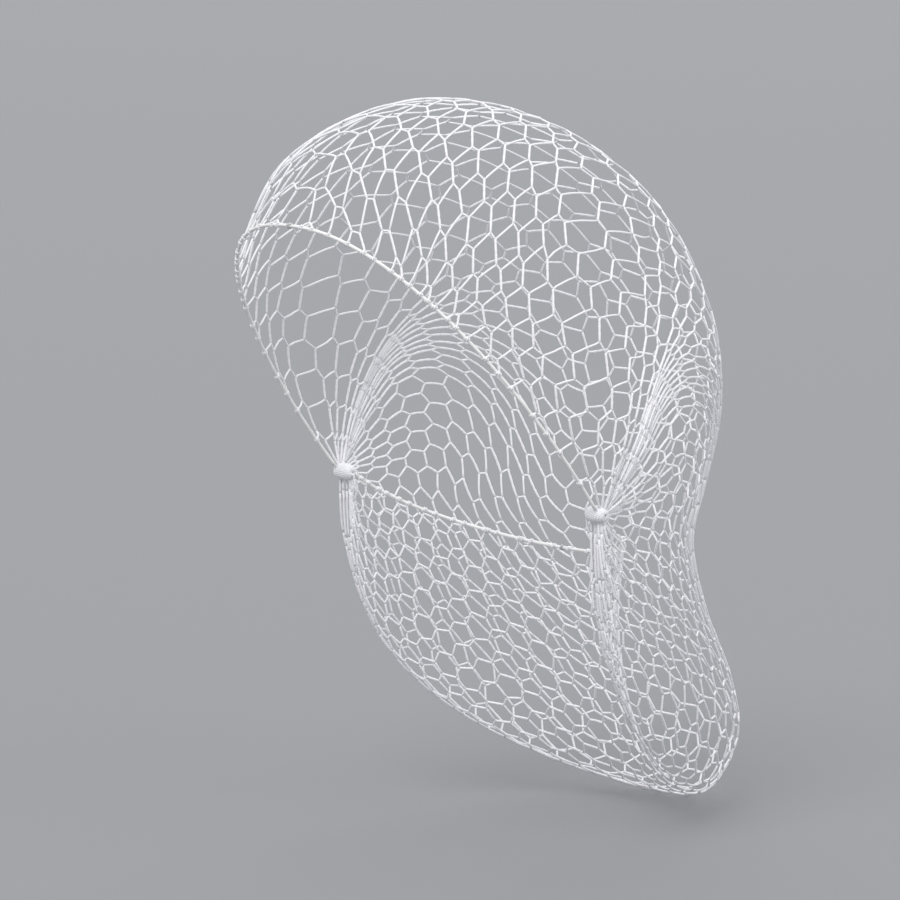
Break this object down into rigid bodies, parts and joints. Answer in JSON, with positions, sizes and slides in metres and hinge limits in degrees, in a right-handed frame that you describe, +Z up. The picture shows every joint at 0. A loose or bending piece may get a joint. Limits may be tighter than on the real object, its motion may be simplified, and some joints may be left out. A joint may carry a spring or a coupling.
{
  "type": "snood hairnet",
  "caption": "White hexagonal-knit hairnet slung from ear to ear over the crown, with an elastic edge and a hanging snood pouch that holds long hair at the nape.",
  "frame": {"origin": "top of the crown on the midline, where the net sits on the head", "axes": "+X to the wearer's left, +Y to the back of the head, +Z up"},
  "size_m": [0.1607, 0.2388, 0.2998],
  "materials": {
    "net_yarn": "soft white textured nylon yarn, knitted",
    "edge_elastic": "smooth white covered elastic cord",
    "gather_yarn": "white yarn drawn in and bound"
  },
  "bodies": {
    "root": {"net": "net_yarn", "face_elastic": "edge_elastic", "nape_elastic": "edge_elastic", "gather_left": "gather_yarn", "gather_right": "gather_yarn"}
  },
  "joints": []
}
